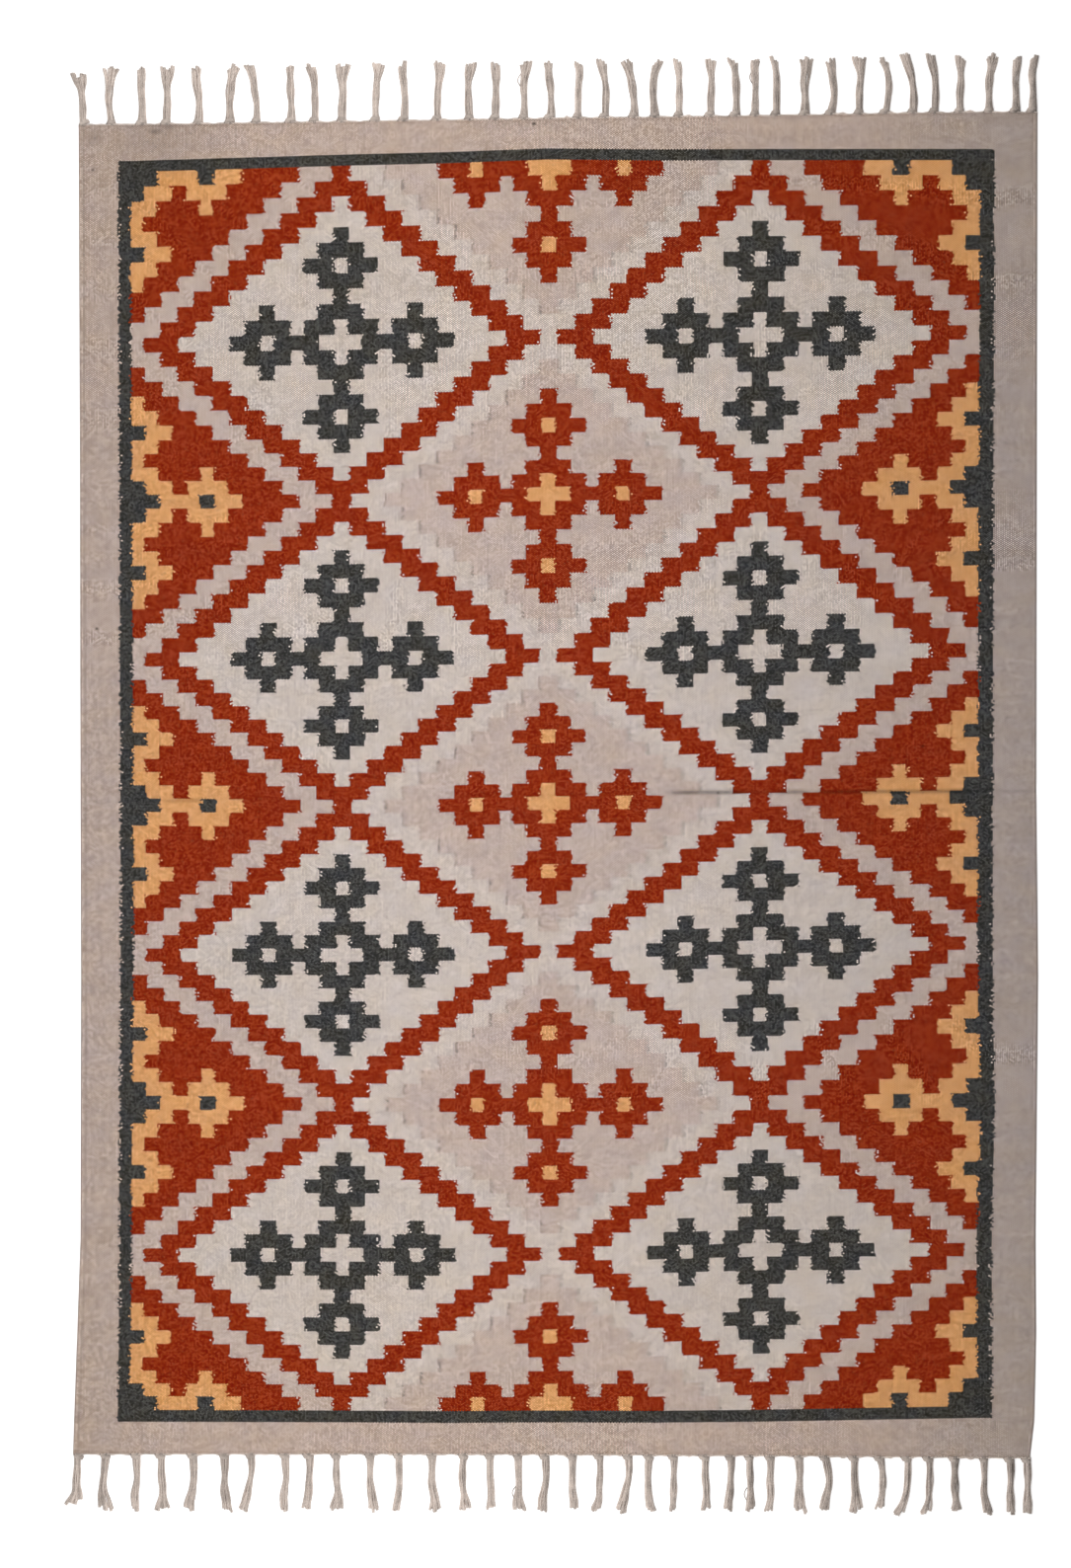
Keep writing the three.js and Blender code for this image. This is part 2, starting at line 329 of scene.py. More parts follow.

# %% [markdown]
# ### Crosses, and the dyes in layers
#
# Three crosses lie over the bands: charcoal in the lozenge, rust in the middle and mustard at the sides. The
# dyes are then laid over each other like stencils, each by its own mask, and the last one wins. The border's
# undyed wool is greyer at the right side and paler across the two ends: a colour ramp along A mixes those
# colours.

# %% Crosses and dyes
DYES = {
    "border": "#baa79c",
    "border_end": "#c0aca1",
    "border_right": "#b2a39b",
    "charcoal": "#42413f",
    "rust": "#902f0f",
    "mustard": "#dba16b",
    "ivory": "#ccbfb6",
    "taupe": "#c2afa5",
    "light": "#ccbeb5",
}
CROSSES = (("lozenge", "k", "ivory"), ("middle", "j", "middle_ground"), ("side", "j", "side_ground"))
for name, down, ground in CROSSES:
    squares = {"across": values[name + "_across"], "down": values[down]}
    group = add(design, "ShaderNodeGroup", {"node_tree": motif}, squares)
    for part in ("cross", "hole"):
        inputs = {0: group.outputs[part], 1: values[ground]}
        values[name + "_" + part] = add(design, "ShaderNodeMath", {"operation": "MULTIPLY"}, inputs)
LAYERS = (
    ("side", "rust"),
    ("light_inner", "light"),
    ("light_side", "taupe"),
    ("rust", "rust"),
    ("ivory", "ivory"),
    ("lozenge_cross", "charcoal"),
    ("middle_cross", "rust"),
    ("middle_hole", "mustard"),
    ("side_cross", "mustard"),
    ("side_hole", "charcoal"),
    ("frame", "charcoal"),
    ("border", "border"),
)
BORDER_RAMP = ((-180, "border"), (-150, "border_end"), (125, "border_end"), (180, "border_right"))
LAST_PAIR = DESIGN_A[-1]
share = add(design, "ShaderNodeMapRange", None, {0: values["a"], 1: -LAST_PAIR, 2: LAST_PAIR})
plain = add(design, "ShaderNodeValToRGB", None, {0: share})
stops = plain.color_ramp.elements
for at, name in BORDER_RAMP:
    stops.new((at + LAST_PAIR) / (2 * LAST_PAIR)).color = linear(DYES[name])
for spare in (0, -1):
    stops.remove(stops[spare])
dye = linear(DYES["taupe"])
for mask, name in LAYERS:
    colour = plain.outputs[0] if name == "border" else linear(DYES[name])
    over = {0: values[mask], 6: dye, 7: colour}
    dye = add(design, "ShaderNodeMix", {"data_type": "RGBA"}, over).outputs[2]
add(design, "NodeGroupOutput", None, {"dye": dye, "slit": values["slit"]})
print("dyes:", len(DYES), "design nodes:", len(design.nodes))

# %% [markdown]
# ## Wool
#
# Cloth and fringe are the same wool: matt, because its scaly fibres scatter the light, with an IOR of 1.5 for
# keratin and a trace of sheen from the loose fibres. So one function ends both materials. It multiplies the
# dye by a tone, which holds all the unevenness of hand-spun yarn, and turns a height into a fine relief.

# %% Wool
def new_wool(name):
    wool = bpy.data.materials.new(name)
    wool.use_nodes = True
    wool.node_tree.nodes.clear()
    return wool


def finish_wool(tree, dye, values, strength, depth, looks):
    """Adds the last nodes. The relief's strength is a share, and its depth is in millimetres."""
    toned = {0: dye, "Scale": values["tone"]}
    toned = add(tree, "ShaderNodeVectorMath", {"operation": "SCALE"}, toned)
    relief = {"Strength": strength, "Distance": depth * MM, "Height": values["height"]}
    relief = add(tree, "ShaderNodeBump", None, relief)
    looks = {"Base Color": toned, "Normal": relief, "IOR": 1.5, "Sheen Roughness": 0.5, **looks}
    shader = add(tree, "ShaderNodeBsdfPrincipled", None, looks)
    add(tree, "ShaderNodeOutputMaterial", None, {"Surface": shader})


cloth_wool, warp_yarn = new_wool("handwoven_wool_weft"), new_wool("plied_wool_warp")
print("wool materials:", cloth_wool.name, "and", warp_yarn.name)

# %% [markdown]
# ## The cloth: hand-woven, weft-faced
#
# Seen close, weft-faced cloth is rows of small beads: each bead is the weft going over one warp, and beads
# of the next warp sit half a bead lower. Warps are 2.33 mm apart and a bead is 2.9 mm tall, both counted on
# the rug. The material first finds which bead a point is on, and gives it a random number of its own. The
# beads' joints zigzag, which gives each bead its slanted ends.
#
# The dye is then chosen once for the whole bead, so the joins between colours come out toothed like the real
# ones instead of ruler-straight. Where colours meet, three picks in ten reach a warp further before they turn
# back, which is how neighbouring blocks interlock. Each bead looks as far as its pick reaches, to both sides,
# and mostly takes the darker dye that it finds, now and then the lighter.

# %% Which bead
BEADS_A_PAIR = 12 / 7
BEADS_A_ROW = 7.5
BEAD_REACH = 0.38
tree = cloth_wool.node_tree
place = add(tree, "ShaderNodeAttribute", {"attribute_name": "weave"})
loom = add(tree, "ShaderNodeSeparateXYZ", None, {0: place.outputs["Vector"]})
values = {"A": loom.outputs["X"], "B": loom.outputs["Y"], "shade": loom.outputs["Z"]}
values |= {"beads_a_pair": BEADS_A_PAIR, "beads_a_row": BEADS_A_ROW, "minus_reach": -BEAD_REACH}
values |= {"reach_both_ways": 4 * BEAD_REACH, "bead_half_height": 0.5 + BEAD_REACH}
COUNT_STEPS = """
warp = multiply A beads_a_pair
weft = multiply B beads_a_row
join = round warp
turn = floored_modulo join 2 | multiply_add -2 1
zigzag = fract weft | subtract 0.5 | absolute | multiply_add reach_both_ways minus_reach
edge = multiply_add zigzag turn join
before = less_than warp edge
column = subtract join before
stagger = floored_modulo column 2
weft = multiply_add stagger 0.5 weft
pick = floor weft
"""
chain(tree, COUNT_STEPS, values)
bead = add(tree, "ShaderNodeCombineXYZ", None, {0: values["column"], 1: values["pick"]})
bead_tone = add(tree, "ShaderNodeTexWhiteNoise", {"noise_dimensions": "2D"}, {"Vector": bead})
values["chance"] = bead_tone.outputs["Value"]
BEAD_STEPS = """
reach = greater_than chance 0.7 | add 0.5
middle = add column 0.5
left = subtract middle reach | divide beads_a_pair
right = add middle reach | divide beads_a_pair
level = multiply_add stagger -0.5 pick | add 0.5 | divide beads_a_row
across_bead = subtract warp middle | absolute
down_bead = fract weft | subtract 0.5 | absolute
slope = multiply_add down_bead reach_both_ways across_bead | divide bead_half_height | power 2
height = subtract 1 slope
"""
chain(tree, BEAD_STEPS, values)
print("bead:", round(PAIR_WIDTH / BEADS_A_PAIR, 2), "x", round(ROW_HEIGHT / BEADS_A_ROW, 2), "mm")

# %% [markdown]
# ### The bead's dye
#
# Both sides are looked up in the chart. How far apart the two dyes are is kept as well: it says which beads
# lie at a join, where the turning yarns throw a little shadow.

# %% The bead's dye
one = add(tree, "ShaderNodeGroup", {"node_tree": design}, {"a": values["left"], "b": values["level"]})
other = add(tree, "ShaderNodeGroup", {"node_tree": design}, {"a": values["right"], "b": values["level"]})
values["bright_one"] = add(tree, "ShaderNodeRGBToBW", None, {0: one})
values["bright_other"] = add(tree, "ShaderNodeRGBToBW", None, {0: other})
JOIN_STEPS = """
darker = less_than bright_other bright_one
near = less_than chance 0.16
far = greater_than chance 0.94
lighter = add near far
pick_other = subtract darker lighter | absolute
"""
chain(tree, JOIN_STEPS, values)
either = {0: values["pick_other"], 6: one, 7: other}
colour = add(tree, "ShaderNodeMix", {"data_type": "RGBA"}, either).outputs[2]
apart = add(tree, "ShaderNodeVectorMath", {"operation": "DISTANCE"}, {0: one, 1: other})
values |= {"apart": apart.outputs["Value"], "slit": one.outputs["slit"]}
print("cloth material nodes so far:", len(tree.nodes))

# %% [markdown]
# ### Uneven yarn, and the marks of use
#
# Hand-spun yarn is never even. Four soft noises, counted in beads, give the lengths of yarn that run lighter
# or darker, the bands where a new skein began, the ribs along the warps, and the dye lots. A few spots are
# single marks: soiled spots and one broad darker patch near the top left corner, worn places, and burls,
# which are knots in the yarn.
# Each is an oval in design coordinates: its middle in A and B, its half width and half height, and how dark
# it is.

# %% Noises and spots
NOISES = (
    ("yarn_tone", (0.12, 0.9, 1), (0, 0, 0), 1),
    ("band_tone", (0.007, 0.12, 1), (0, 0, 0), 1),
    ("rib_tone", (0.9, 0.03, 1), (40, 7, 0), 1),
    ("dye_lot", (0.06, 0.09, 1), (3, 9, 0), 2),
)
for name, scale, start, detail in NOISES:
    counted = add(tree, "ShaderNodeMapping", None, {"Vector": bead, "Scale": scale, "Location": start})
    noise = {"Vector": counted, "Scale": 1, "Detail": detail}
    values[name] = add(tree, "ShaderNodeTexNoise", {"noise_dimensions": "2D"}, noise)
# The broad patch at the top left corner only makes the wool there darker.
SPOTS = (
    ("soiled", -186, -2.6, 4.5, 0.8, 0.2),
    ("soiled_wide", -156, -2.6, 32, 3.5, 0.17),
    ("smudge", -159.6, -2.9, 4, 0.3, 0.3),
    ("smudge_end", -154, -3.2, 3, 0.25, 0.2),
    ("worn", -6.3, -2.65, 1.2, 0.13, 1.2),
    ("worn_line", -6, -2.95, 5, 0.08, 0.35),
    ("fleck", -59, 35.5, 0.7, 0.13, 1.2),
    ("burl", -184.6, 31.3, 0.8, 0.14, 0.9),
    ("burl_above", -186, -0.2, 0.8, 0.14, 0.8),
    ("burl_right", 181, 38.5, 1.3, 0.14, 0.45),
    ("burl_rust", 147.8, 40.6, 1.2, 0.14, 0.6),
)
SPOT_STEPS = "off = subtract place middle | multiply shrunk | length"
SPOT_CORE = 0.2
stains = 0
for name, a, b, wide, tall, depth in SPOTS:
    spot = {"place": place.outputs["Vector"], "middle": (a, b, 0), "shrunk": (1 / wide, 1 / tall, 0)}
    chain(tree, SPOT_STEPS, spot, "ShaderNodeVectorMath")
    off = spot["off"].outputs["Value"]
    share = add(tree, "ShaderNodeMapRange", None, {0: off, 1: SPOT_CORE, 2: 1, 3: depth, 4: 0})
    stains = add(tree, "ShaderNodeMath", {"operation": "ADD"}, {0: stains, 1: share})
values["stains"] = stains
print("spots:", len(SPOTS))

# %% [markdown]
# ### Tone and shine
#
# The tone multiplies the dye, and its table is read from top to bottom: the noises first, then single dark
# beads (pits), painted shadow at joins and slits with a painted highlight where a join takes the lighter dye,
# the stains and the painted shade of the fold line, selvedges and ends (dip), and last painted shade in the
# gaps between beads, deeper towards the right, away from the lamp. The hue shifts a little with the dye lot,
# and towards both ends the wool has aged yellower. That shift is added as the eye sees colour, so the colour
# passes through a gamma and back.

# %% Tone and shine
MIDDLE_ROW, AGED_FROM, AGED_TO = 44.5, 18, 48
FRESH, AGED = 0.45, 0.65
COOLER = (-0.012, 0.006, 0.055)
DARKEST = (0.01, 0.01, 0.01)
SEEN_GAMMA = 2.2
# Painted light in the tone: shadow at joins and slits, a highlight where a join takes the lighter dye, and
# shade in the gaps between beads, deeper towards the right.
TONE_STEPS = """
speck = subtract chance 0.5
tone = multiply_add yarn_tone 0.12 0.745
tone = multiply_add rib_tone 0.22 tone
tone = multiply_add band_tone 0.14 tone
speck = multiply_add speck 0.16 -0.015
pit = greater_than chance 0.985 | multiply_add -0.35 1
tone = multiply tone pit
joined = greater_than apart 0.02
halo = multiply_add lighter 0.17 -0.12
joined = multiply_add joined halo 1
tone = multiply tone joined
slit = multiply slit chance | multiply_add -0.6 1
tone = multiply tone slit
shade = add shade stains
dip = add chance 0.5 | multiply shade | minimum 0.7
dip = subtract 1 dip
tone = multiply tone dip
relief = multiply_add A 0.0014 1.65
floor = multiply_add relief -0.53 1
gap = multiply_add height relief floor
tone = multiply tone gap
from_middle = subtract B middle_row | absolute
"""
values["middle_row"] = MIDDLE_ROW
chain(tree, TONE_STEPS, values)
from_middle = {0: values["from_middle"], 1: AGED_FROM, 2: AGED_TO, 3: FRESH, 4: AGED}
age = add(tree, "ShaderNodeMapRange", None, from_middle)
lot = add(tree, "ShaderNodeMath", {"operation": "SUBTRACT"}, {0: values["dye_lot"], 1: age})
hue = {0: lot, 1: COOLER, 2: values["speck"]}
hue = add(tree, "ShaderNodeVectorMath", {"operation": "MULTIPLY_ADD"}, hue)
seen = add(tree, "ShaderNodeGamma", None, {"Color": colour, "Gamma": 1 / SEEN_GAMMA})
mixed = add(tree, "ShaderNodeVectorMath", {"operation": "ADD"}, {0: seen, 1: hue})
mixed = add(tree, "ShaderNodeVectorMath", {"operation": "MAXIMUM"}, {0: mixed, 1: DARKEST})
mixed = add(tree, "ShaderNodeGamma", None, {"Color": mixed, "Gamma": SEEN_GAMMA})
WEFT_LOOKS = {"Roughness": 0.95, "Specular IOR Level": 0.12, "Sheen Weight": 0.02}
finish_wool(tree, mixed, values, strength=0.6, depth=0.6, looks=WEFT_LOOKS)
print("cloth material nodes:", len(tree.nodes))

# %% [markdown]
# ## The cloth's upper face
#
# Along both sides the outermost warps are thicker, and the weft goes round them. That leaves a round cord
# with a shallow groove beside it: the selvedge. Two tables give the height there, and at the ends, by the
# distance from the edge. The crease has its own trough and shoulders. A hand-woven rug never lies dead flat
# either, so the face rises and falls by half a millimetre in long soft waves.

# %% The upper face
EDGE_STEPS = (0, 0.6, 1.8, 3.6, 5.4, 7.4, 9.2, 10.8, 12.4)
EDGE_HEIGHTS = (1.2, 2.5, 3.5, 4.0, 3.7, 3.0, 3.7, 4.0, 4.0)
END_STEPS = (0, 0.6, 1.6, 3, 20)
END_HEIGHTS = (2.9, 3.5, 3.9, 4.0, 5)
SHOULDER_RISE, SHOULDER_AT, SHOULDER_HALF_WIDTH = 0.3, 1.6, 0.9
SHORT_WAVE, LONG_WAVE = 0.3, 0.25


def crease_share(x, y):
    """How much of the trough and of its shoulders a point has, from 0 to 1."""
    away = np.abs(y - np.interp(x, CREASE_X, CREASE_Y)) / CREASE_HALF_WIDTH
    near = np.clip(away, 0, 1)
    trough = 1 - near * near * (3 - 2 * near)
    shoulder = SHOULDER_RISE * np.clip(1 - np.abs(away - SHOULDER_AT) / SHOULDER_HALF_WIDTH, 0, 1)
    return trough, shoulder


def cloth_top(x, y):
    depth = np.interp(x, CREASE_X, CREASE_DEPTH)
    trough, shoulder = crease_share(x, y)
    waves = SHORT_WAVE * np.sin(x / 61 + 1.3 * np.sin(y / 170)) * np.sin(y / 83 + 0.6)
    waves += LONG_WAVE * np.sin(x / 139 - y / 210 + 2.1)
    return CLOTH_THICKNESS + depth * (shoulder - trough) + waves


print("crease at its deepest:", max(CREASE_DEPTH), "mm")

# %% [markdown]
# ## The cloth as one closed sheet
#
# A grid of points follows the rug's real outline, with a second layer underneath and a wall round the rim,
# so the cloth has a real thickness. A plane with Solidify would do nearly the same, but here each row has its
# own place: the rows crowd together at the crease and along the edges, where the shape changes, and stay
# about 10 mm apart in between.

# %% Cloth mesh
POINTS_ACROSS, POINTS_AT_FOLD, POINTS_ALONG = 150, 16, 100
SELVEDGE_WIDTH, FOLD_REACH, FOLD_GAP, END_GAP = 18, 24, 6, 12
UNDER_EDGE = 1.1
columns = np.linspace(SELVEDGE_WIDTH, BODY_WIDTH - SELVEDGE_WIDTH, POINTS_ACROSS)
columns = np.concatenate([EDGE_STEPS, columns, BODY_WIDTH - np.array(EDGE_STEPS[::-1])])
columns = columns / BODY_WIDTH
half = BODY_LENGTH / 2
at_fold = np.linspace(0, FOLD_REACH, POINTS_AT_FOLD)
beyond = np.linspace(FOLD_REACH + FOLD_GAP, half - END_GAP, POINTS_ALONG)
half_rows = np.concatenate([at_fold, beyond, half - np.array(END_STEPS[-2::-1])]) / half
rows = np.concatenate([-half_rows[:0:-1], half_rows])
u, v = np.meshgrid(columns, rows)
near_x, near_y = (u - 0.5) * BODY_WIDTH, v * half
x = left_edge(near_y) * (1 - u) + right_edge(near_y) * u
ends = np.where(v > 0, end_line(1, near_x), end_line(-1, near_x)) - STRIP_WIDTH - SEAM_GAP
crease_y = np.interp(x, CREASE_X, CREASE_Y)
y = crease_y + (np.sign(v) * ends - crease_y) * np.abs(v)
from_side = np.minimum(u, 1 - u) * BODY_WIDTH
from_end = (1 - np.abs(v)) * half
top = cloth_top(x, y)
top = np.minimum(top, top - CLOTH_THICKNESS + np.interp(from_side, EDGE_STEPS, EDGE_HEIGHTS))
top = np.minimum(top, np.interp(from_end, END_STEPS, END_HEIGHTS))
wide, tall = len(columns), len(rows)
upper = np.stack([x, y, top], -1).reshape(-1, 3)
lower = np.stack([x, y, np.where(from_side == 0, UNDER_EDGE, 0)], -1).reshape(-1, 3)
points = np.concatenate([upper, lower]) * MM
corner = (np.arange(tall - 1)[:, None] * wide + np.arange(wide - 1)).ravel()
over = np.stack([corner, corner + 1, corner + 1 + wide, corner + wide], -1)
layer = wide * tall
under = np.stack([corner, corner + wide, corner + 1 + wide, corner + 1], -1) + layer
rim = list(range(wide)) + [j * wide + wide - 1 for j in range(1, tall)]
rim += [(tall - 1) * wide + i for i in range(wide - 2, -1, -1)] + [j * wide for j in range(tall - 2, 0, -1)]
walls = [(layer + p, layer + q, q, p) for p, q in zip(rim, rim[1:] + rim[:1])]
cloth = mesh_object("kilim_cloth", points.tolist(), [*over.tolist(), *under.tolist(), *walls], cloth_wool)
cloth.data.shade_smooth()
print("cloth:", len(cloth.data.vertices), "points,", 2 * len(cloth.data.polygons), "triangles")

# %% [markdown]
# ### What each point of the weave knows
#
# The cloth's material reads one attribute of three numbers: A, B, and how much darker painted shade makes
# that spot than the wool itself; below zero it is a painted highlight. Painted shade lies along the fold
# line, in some stretches far darker than in others. The selvedge's cord and groove are painted with highlight
# and shade, differently at the left and at the right side, and the last rows at each end get a painted
# highlight, with painted shade in the groove behind them.

# %% Weave attribute
# Painted highlight and shade of the selvedges, left and right, and of the last rows at each end.
EDGE_SHADES = (
    (0.10, 0.08, -0.04, -0.13, 0.05, 0.18, 0.05, -0.04, 0),
    (0.35, 0.35, 0.26, 0.02, -0.15, 0.17, -0.08, 0.0, 0),
)
LAST_STEPS = (0, 2.6, 3.6, 4.6, 7)
LAST_SHADES = (-0.14, -0.12, 0.12, 0.06, 0)
# Painted shade along the fold line: where it lies, how dark it is along x, and the width of its line and
# haze.
FOLD_LINE_Y = (-24, -20, -12, -9.4, -7)
PAINTED_FOLD_SHADE_X = (-780, -630, -615, -575, -560, 170, 190, 285, 300, 345, 355, 390, 402, 430, 640, 660, 780)
PAINTED_FOLD_SHADE = (0.1, 0.1, 0.45, 0.45, 0.1, 0.1, 0.9, 0.9, 0.35, 0.35, 0.8, 0.8, 0.3, 0.7, 0.8, 0.35, 0.3)
FOLD_LINE_SHADE, LINE_CORE, LINE_REACH = 0.52, 1.3, 4
FOLD_HAZE_SHADE, HAZE_REACH = 0.05, 20


def mark_weave(piece):
    """Gives each point its design coordinates, and the painted shade and highlight of the fold line, the
    selvedges and the ends.
    """
    spots = np.empty(len(piece.data.vertices) * 3)
    piece.data.vertices.foreach_get("co", spots)
    at_x, at_y, _ = spots.reshape(-1, 3).T / MM
    a, b = design_coordinates(at_x, at_y)
    away = np.abs(at_y - np.interp(at_x, CREASE_X, FOLD_LINE_Y))
    line = FOLD_LINE_SHADE * np.clip(LINE_CORE - away / LINE_REACH, 0, 1)
    line += FOLD_HAZE_SHADE * np.clip(1 - away / HAZE_REACH, 0, 1)
    shade = line * np.interp(at_x, PAINTED_FOLD_SHADE_X, PAINTED_FOLD_SHADE)
    shade += np.interp(at_x - left_edge(at_y), EDGE_STEPS, EDGE_SHADES[0])
    shade += np.interp(right_edge(at_y) - at_x, EDGE_STEPS, EDGE_SHADES[1])
    shade += np.interp(end_line(1, at_x) - at_y, LAST_STEPS, LAST_SHADES)
    shade += np.interp(end_line(-1, at_x) + at_y, LAST_STEPS, LAST_SHADES)
    weave = piece.data.attributes.new("weave", "FLOAT_VECTOR", "POINT")
    weave.data.foreach_set("vector", np.stack([a, b, shade], -1).ravel())


mark_weave(cloth)
print("marked points:", len(cloth.data.attributes["weave"].data))

# %% [markdown]
# ## The warp yarn
#
# The fringe is the rug's own warp: undyed wool, several plies twisted together. The twist shows as fine
# slanting ridges, 3 plies with a turn every 7 mm. Each yarn point knows how far along it lies and where
# round the yarn it is, and the ridges follow from the two, as a stripe on a barber's pole does.
#
# The yarn is darker in the first 10 mm, which lie in the knot's shadow. Tufts of fluff every 2 to 3 mm and
# patches every 17 mm mottle it. It has a little more sheen than the cloth, because it isn't beaten down.

# %% Yarn material
TWIST_PITCH = 7
PLIES = 3
ROOT_LENGTH = 10
FLUFF_A_METRE, PATCHES_A_METRE = 420, 60
tree = warp_yarn.node_tree
thread = add(tree, "ShaderNodeAttribute", {"attribute_name": "thread"})
parts = add(tree, "ShaderNodeSeparateXYZ", None, {0: thread.outputs["Vector"]})
tint = add(tree, "ShaderNodeAttribute", {"attribute_name": "tint"})
spot = add(tree, "ShaderNodeTexCoord").outputs["Object"]
values = {"sine": parts.outputs["X"], "cosine": parts.outputs["Y"], "along": parts.outputs["Z"]}
values["tint"] = tint.outputs["Fac"]
for name, scale, detail in (("fluff", FLUFF_A_METRE, 3), ("patch", PATCHES_A_METRE, 1)):
    values[name] = add(tree, "ShaderNodeTexNoise", None, {"Vector": spot, "Scale": scale, "Detail": detail})
values |= {"plies": PLIES, "turns_a_metre": 2 * math.pi / (TWIST_PITCH * MM), "root_length": ROOT_LENGTH * MM}
# Painted shade: the tone follows the ply ridges, darker in the grooves between plies, and darker in the first
# 10 mm behind the knot.
YARN_STEPS = """
angle = arctan2 sine cosine | multiply plies
turn = multiply along turns_a_metre | add angle
ply = sine turn
height = multiply_add fluff 0.8 ply
tone = multiply_add ply 0.14 0.14
tone = multiply_add tint 0.45 tone
tone = multiply_add fluff 0.8 tone
tone = multiply_add patch 0.7 tone
root = divide along root_length | minimum 1 | multiply_add 0.5 0.5
tone = multiply tone root
tip = minimum along 0.1
tone = multiply_add tip 0.8 tone
"""
chain(tree, YARN_STEPS, values)
WARP_LOOKS = {"Roughness": 0.9, "Specular IOR Level": 0.2, "Sheen Weight": 0.05}
finish_wool(tree, linear("#b9aca3")[:3], values, strength=0.5, depth=0.25, looks=WARP_LOOKS)
print("yarn material nodes:", len(tree.nodes))

# %% [markdown]
# ## The tassels' places
#
# When the rug comes off the loom, its warp ends are gathered in bundles and knotted against the last weft,
# so that nothing unravels. These are the CAD source's tassels: each has a form, which says how it fell, and
# a distance from the one before. Both ends have the same tassels, mirrored. A form gives, in millimetres, how
# far the tip leans and bows aside, how wide it spreads and how long it is, and then how strongly it forks.

# %% Tassel tables
FORM_KEYS = ("lean", "bow", "spread", "reach", "fork")
TASSEL_FORMS = {
    "fanned": (-6, 0, 24, 80, 0.6),
    "forked": (-2, -4, 21, 90, 2.6),
    "split": (2, 0, 18, 90, 1.8),
    "swept": (-13, 2, 16, 92, 0.5),
    "leftward": (-6, 2, 14, 90, 0.4),
    "rightward": (4, -1, 17, 91, 0.8),
    "upright": (1, 0, 13, 88, 0.3),
    "hooked": (3, -4, 15, 88, 0.5),
    "bowed": (-2, 6, 13, 86, 0.2),
    "slender": (-3, 1, 11, 91, 0),
}
TASSELS = (
    "fanned 7, forked 46, slender 48, split 39, leftward 51, rightward 50, swept 42, slender 55, "
    "leftward 37, split 44, rightward 54, slender 45, rightward 53, hooked 51, upright 41, split 45, "
    "leftward 42, upright 44, leftward 43, swept 46, hooked 34, slender 38, upright 50, leftward 40, "
    "upright 31, slender 33, split 46, bowed 41, split 46, bowed 41, swept 44, leftward 34, upright 41, "
    "rightward 47, upright 41, upright 27"
)


def tassel_places(side):
    across = float(left_edge(side * BODY_LENGTH / 2))
    places = []
    for entry in TASSELS.split(", "):
        form, gap = entry.split()
        across += float(gap)
        places.append((TASSEL_FORMS[form], across))
    return places


print("tassels at each end:", len(tassel_places(1)))

# %% [markdown]
# ## Yarns by Geometry Nodes
#
# One end has 36 tassels of 12 yarns, far too many to place by hand, and each follows the same rule. So the
# tree below takes one point for each tassel, makes 12 of each, and stands a line on every one of them. Each
# copy gets its layer and its seat in the bundle, and a few chances of its own. The chances come from a fixed
# seed, so every run makes the same fringe. A yarn on the right of its bundle lies in the others' shade, and
# more so towards the rug's right side, away from the light. The tree begins with every attribute that it
# reads by name, because Geometry Nodes look such a value up only where it is used.

# %% Yarn tree: the bundle
STORE = "GeometryNodeStoreNamedAttribute"
NUMBER, VECTOR, CHOICE = {"data_type": "FLOAT"}, {"data_type": "FLOAT_VECTOR"}, {"data_type": "BOOLEAN"}
ON_EACH_COPY = ("layer", "seat", "jitter", "phase", "longer", "tint")
YARN_POINTS = 23
SHADE_FROM, SHADE_TO = -0.3, 0.75
SOCKETS = (
    ("Geometry", "INPUT", "Geometry"),
    ("Side", "INPUT", "Float", 1),
    ("Yarns", "INPUT", "Int", 12),
    ("Yarn Radius", "INPUT", "Float", 1.3 * MM),
    ("Wrap Radius", "INPUT", "Float", 1.25 * MM),
    ("Seed", "INPUT", "Int", 7),
    ("Weave", "INPUT", "Material"),
    ("Yarn", "INPUT", "Material"),
    ("Geometry", "OUTPUT", "Geometry"),
)
fringe = new_group("knotted fringe", "GeometryNodeTree", SOCKETS)
given = add(fringe, "NodeGroupInput").outputs
kinds = {"root": CHOICE, "yarn": CHOICE, "anchor": VECTOR, "round": VECTOR}
known = {}
for name in (*kinds, *FORM_KEYS, *ON_EACH_COPY, "loop", "stray", "along"):
    kind = kinds.get(name, NUMBER)
    known[name] = add(fringe, "GeometryNodeInputNamedAttribute", kind, {"Name": name})
parted = {0: given[0], "Selection": known["root"]}
parted = add(fringe, "GeometryNodeSeparateGeometry", {"domain": "POINT"}, parted)
roots = add(fringe, "GeometryNodeMeshToPoints", None, {"Mesh": parted.outputs["Selection"]})
position = add(fringe, "GeometryNodeInputPosition")
anchored = add(fringe, STORE, VECTOR, {"Geometry": roots, "Name": "anchor", "Value": position})
many = {"Geometry": anchored, "Amount": given["Yarns"]}
many = add(fringe, "GeometryNodeDuplicateElements", {"domain": "POINT"}, many)
STACK_STEPS = """
layer = divide order 5 | floor
seat = floored_modulo order 5 | subtract 2.25
shift = subtract layer 1 | maximum 0
seat = multiply_add layer 0.5 seat
seat = multiply_add shift 0.8 seat
"""
values = {"order": many.outputs["Duplicate Index"]}
chain(fringe, STACK_STEPS, values)
index = add(fringe, "GeometryNodeInputIndex")
for offset, name in enumerate(("jitter", "phase", "longer", "tint")):
    seed = add(fringe, "ShaderNodeMath", {"operation": "ADD"}, {0: given["Seed"], 1: offset})
    values[name] = add(fringe, "FunctionNodeRandomValue", NUMBER, {"ID": index, "Seed": seed})
seen_from = add(fringe, "ShaderNodeSeparateXYZ", None, {0: position})
values["right"] = add(fringe, "ShaderNodeMapRange", None, {0: seen_from, 1: SHADE_FROM, 2: SHADE_TO})
